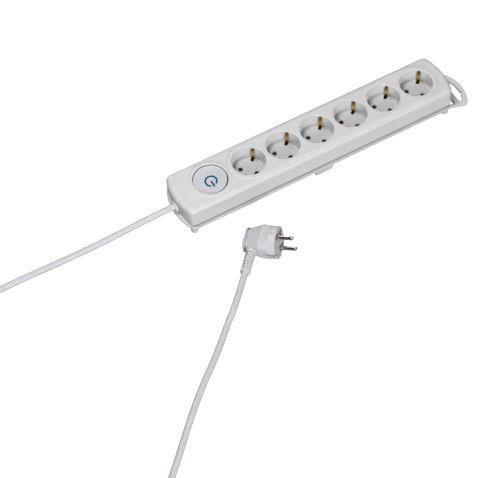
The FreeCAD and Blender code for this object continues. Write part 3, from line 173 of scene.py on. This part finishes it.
def moulded_plastic(name, colour, roughness=0.42, grain=0.25, grain_scale=GRAIN_SCALE, sheen=0.0,
                    bleed=PLASTIC_BLEED, gloss=PLASTIC_GLOSS):
    """Injection-moulded plastic: faint flow mottling, spark-eroded grain and a painted highlight that makes
    convex edges paler.
    """
    s = Shader(name)
    mottle = s.noise(MOTTLE_SCALE, 4.0)
    speck = s.noise(SPECK_SCALE, 2.0)
    dark, light = (shade(colour, factor) for factor in MOTTLE_SHADES)
    tone = s.mix(s.spread(mottle, 0.0, 1.0), dark, light)
    tone = s.mix(s.spread(speck, 0.0, SPECK_SHARE), tone, shade(colour, SPECK_SHADE))
    # painted highlight: the colour is made paler on convex edges
    painted_edge_highlight = s.node("NewGeometry").outputs["Pointiness"]
    tone = s.mix(s.spread(painted_edge_highlight, 0.0, EDGE_HIGHLIGHT_SHARE, EDGE_HIGHLIGHT_POINTINESS), tone, shade(colour, EDGE_HIGHLIGHT_SHADE))
    fine = s.noise(grain_scale, 2.0, 0.6)
    broad = s.noise(WAVINESS_SCALE, 3.0)
    normal = s.bump(fine, grain, GRAIN_DEPTH)
    normal = s.bump(broad, WAVINESS, WAVINESS_DEPTH, normal)
    s.set(Base_Color=tone, Roughness=s.spread(mottle, *around(roughness, PLASTIC_ROUGHNESS_SPREAD)))
    s.set(Normal=normal, Specular_IOR_Level=gloss, Coat_Weight=sheen, Coat_Roughness=COAT_ROUGHNESS)
    s.set(Subsurface_Weight=bleed, Subsurface_Radius=PLASTIC_BLEED_RADIUS, Subsurface_Scale=1.0)
    return s.material


def soft_rubber(name, colour, roughness=0.5):
    """Flexible sheath or pad: fine drawn texture, slightly uneven gloss."""
    s = Shader(name)
    mottle = s.noise(RUBBER_MOTTLE_SCALE, 3.0)
    fine = s.noise(RUBBER_GRAIN_SCALE, 2.0)
    dark, light = (shade(colour, factor) for factor in RUBBER_SHADES)
    s.set(Base_Color=s.mix(s.spread(mottle, 0.0, 1.0), dark, light),
          Roughness=s.spread(mottle, *around(roughness, RUBBER_ROUGHNESS_SPREAD)),
          Normal=s.bump(fine, RUBBER_GRAIN, RUBBER_GRAIN_DEPTH))
    s.set(Subsurface_Weight=RUBBER_BLEED, Subsurface_Radius=RUBBER_BLEED_RADIUS, Subsurface_Scale=1.0)
    return s.material


def plated_metal(name, colour, dark, roughness, scratch):
    """Rolled or turned metal with fine scratches and slight tarnish in patches."""
    s = Shader(name)
    stretched = s.node("Mapping", Vector=s.place, Scale=SCRATCH_SQUEEZE).outputs["Vector"]
    lines = s.node("TexNoise", Vector=stretched, Scale=SCRATCH_SCALE, Detail=3.0).outputs["Fac"]
    patches = s.noise(TARNISH_SCALE, 4.0)
    s.set(Base_Color=s.mix(s.spread(patches, 0.0, TARNISH_SHARE), colour, dark), Metallic=1.0,
          Roughness=s.spread(patches, roughness, roughness + TARNISH_ROUGHNESS),
          Normal=s.bump(lines, scratch, SCRATCH_DEPTH))
    return s.material


def striped_insulation(name, colour, stripe=None):
    """Thin PVC insulation of a wire, with an optional second colour wound round it."""
    s = Shader(name)
    tone = s.mix(s.spread(s.noise(WIRE_MOTTLE_SCALE), 0.0, 1.0), shade(colour, WIRE_DARK_SHADE), colour)
    if stripe is not None:
        wave = s.node("TexWave", Vector=s.place, Scale=STRIPE_SCALE, Distortion=STRIPE_WOBBLE).outputs["Fac"]
        tone = s.mix(s.spread(wave, 0.0, 1.0, STRIPE_EDGE), tone, stripe)
    s.set(Base_Color=tone, Roughness=s.spread(s.noise(WIRE_GLOSS_SCALE), *WIRE_ROUGHNESS),
          Normal=s.bump(s.noise(WIRE_GRAIN_SCALE), WIRE_GRAIN, WIRE_GRAIN_DEPTH))
    return s.material


# ---------------------------------------------------------------- the object's materials
COVER_WHITE = rgb(222, 222, 223)
BASE_WHITE = rgb(216, 216, 216)
ROCKER_WHITE = rgb(210, 212, 216)
CABLE_WHITE = rgb(209, 206, 212)
GROMMET_WHITE = rgb(222, 221, 224)
PLUG_WHITE = rgb(214, 213, 217)
PLUG_CORE_WHITE = rgb(205, 205, 206)
PAD_GREY = rgb(205, 204, 202)
PLATE_GREY = rgb(196, 196, 192)
SWITCH_BLACK = rgb(48, 48, 50)
SHUTTER_RED_BROWN = rgb(66, 20, 14)
SYMBOL_TEAL = rgb(0, 90, 116)
LIVE_BROWN = rgb(112, 60, 32)
NEUTRAL_BLUE = rgb(36, 96, 178)
EARTH_GREEN = rgb(64, 140, 52)
EARTH_YELLOW = rgb(226, 206, 40)
BRASS = rgb(240, 196, 104)
BRASS_DARK = rgb(128, 84, 30)
NICKEL = rgb(206, 201, 196)
NICKEL_DARK = rgb(160, 152, 144)
STEEL = rgb(190, 190, 192)
STEEL_DARK = rgb(120, 120, 122)


def make_materials():
    """One material for each material slot of the record."""
    brass = plated_metal("stamped_brass", BRASS, BRASS_DARK, roughness=0.16, scratch=0.2)
    steel = plated_metal("zinc_plated_steel", STEEL, STEEL_DARK, roughness=0.3, scratch=0.3)
    nickel = plated_metal("nickel_plating", NICKEL, NICKEL_DARK, roughness=0.05, scratch=0.04)
    return {
        "cover_plastic": moulded_plastic("cover_plastic", COVER_WHITE),
        "base_plastic": moulded_plastic("base_plastic", BASE_WHITE, roughness=0.46),
        "pad_rubber": soft_rubber("pad_rubber", PAD_GREY, roughness=0.62),
        "screw_steel": steel,
        "brass": brass,
        "shutter_plastic": moulded_plastic("shutter_plastic", SHUTTER_RED_BROWN, roughness=0.38, grain=0.15),
        "plate_plastic": moulded_plastic("plate_plastic", PLATE_GREY, roughness=0.5),
        "spring_steel": steel,
        "rocker_plastic": moulded_plastic("rocker_plastic", ROCKER_WHITE, roughness=0.3, grain=FINE_GRAIN,
                                          grain_scale=FINE_GRAIN_SCALE, sheen=0.15),
        "symbol_ink": moulded_plastic("symbol_ink", SYMBOL_TEAL, roughness=0.75, grain=0.1,
                                      grain_scale=FINE_GRAIN_SCALE, bleed=0.0, gloss=0.08),
        "switch_plastic": moulded_plastic("switch_plastic", SWITCH_BLACK, roughness=0.5),
        "live_insulation": striped_insulation("live_insulation", LIVE_BROWN),
        "neutral_insulation": striped_insulation("neutral_insulation", NEUTRAL_BLUE),
        "earth_insulation": striped_insulation("earth_insulation", EARTH_GREEN, EARTH_YELLOW),
        "cable_sheath": soft_rubber("cable_sheath", CABLE_WHITE, roughness=0.44),
        "grommet_rubber": soft_rubber("grommet_rubber", GROMMET_WHITE),
        "plug_plastic": moulded_plastic("plug_plastic", PLUG_WHITE, roughness=0.44),
        "plug_insert_plastic": moulded_plastic("plug_insert_plastic", PLUG_CORE_WHITE, roughness=0.4),
        "nickel": nickel,
    }


def dress_cad_nodes():
    materials = make_materials()
    for entry in frame["record"]["subparts"]:
        mesh = frame["nodes"][entry["node"]].data
        mesh.materials.clear()
        mesh.materials.append(materials[entry["material_slot"]])


# ---------------------------------------------------------------- studio
def make_floor():
    """Pale sweep of paper: it looks almost white, but throws back only some of the light."""
    mesh = bpy.data.meshes.new("studio_floor")
    far, low = FLOOR_HALF, -FLOOR_DROP
    corners = [(-far, -far, low), (far, -far, low), (far, far, low), (-far, far, low)]
    mesh.from_pydata(corners, [], [(0, 1, 2, 3)])
    floor = bpy.data.objects.new("studio_floor", mesh)
    bpy.context.scene.collection.objects.link(floor)
    s = Shader("studio_paper")
    seen = s.node("LightPath").outputs["Is Camera Ray"]
    grey = (FLOOR_GREY, FLOOR_GREY, FLOOR_GREY, 1.0)
    s.set(Base_Color=grey, Roughness=0.9, Specular_IOR_Level=0.1)
    s.set(Emission_Color=(1.0, 1.0, 1.0, 1.0), Emission_Strength=s.spread(seen, 0.0, FLOOR_GLOW, (0.0, 1.0)))
    mesh.materials.append(s.material)


def make_light(name, place, diameter, power):
    data = bpy.data.lights.new(name, "AREA")
    data.shape = "DISK"
    data.size = diameter
    data.energy = power
    light = bpy.data.objects.new(name, data)
    light.location = place
    aim = Vector(LIGHT_TARGET) - Vector(place)
    light.rotation_euler = aim.to_track_quat("-Z", "Y").to_euler()
    bpy.context.scene.collection.objects.link(light)


def make_studio():
    make_floor()
    world = bpy.data.worlds.new("studio_air")
    world.use_nodes = True
    background = world.node_tree.nodes["Background"]
    background.inputs["Color"].default_value = (1.0, 1.0, 1.0, 1.0)
    background.inputs["Strength"].default_value = SKY
    bpy.context.scene.world = world
    for light in LIGHTS:
        make_light(*light)
    view = bpy.context.scene.view_settings
    view.view_transform = "Standard"
    view.look = "None"


def make_camera():
    """Looks down from the front left, with the strip running to the upper right."""
    data = bpy.data.cameras.new("camera")
    data.lens = CAMERA_LENS
    data.sensor_width = CAMERA_SENSOR
    data.clip_end = CAMERA_REACH
    camera = bpy.data.objects.new("camera", data)
    camera.location = CAMERA_PLACE
    level = math.cos(CAMERA_ELEVATION)
    aim = Vector((-math.sin(CAMERA_AZIMUTH) * level, math.cos(CAMERA_AZIMUTH) * level,
                  -math.sin(CAMERA_ELEVATION)))
    camera.rotation_euler = aim.to_track_quat("-Z", "Y").to_euler()
    bpy.context.scene.collection.objects.link(camera)
    bpy.context.scene.camera = camera


# ---------------------------------------------------------------- build
dress_cad_nodes()
make_studio()
make_camera()
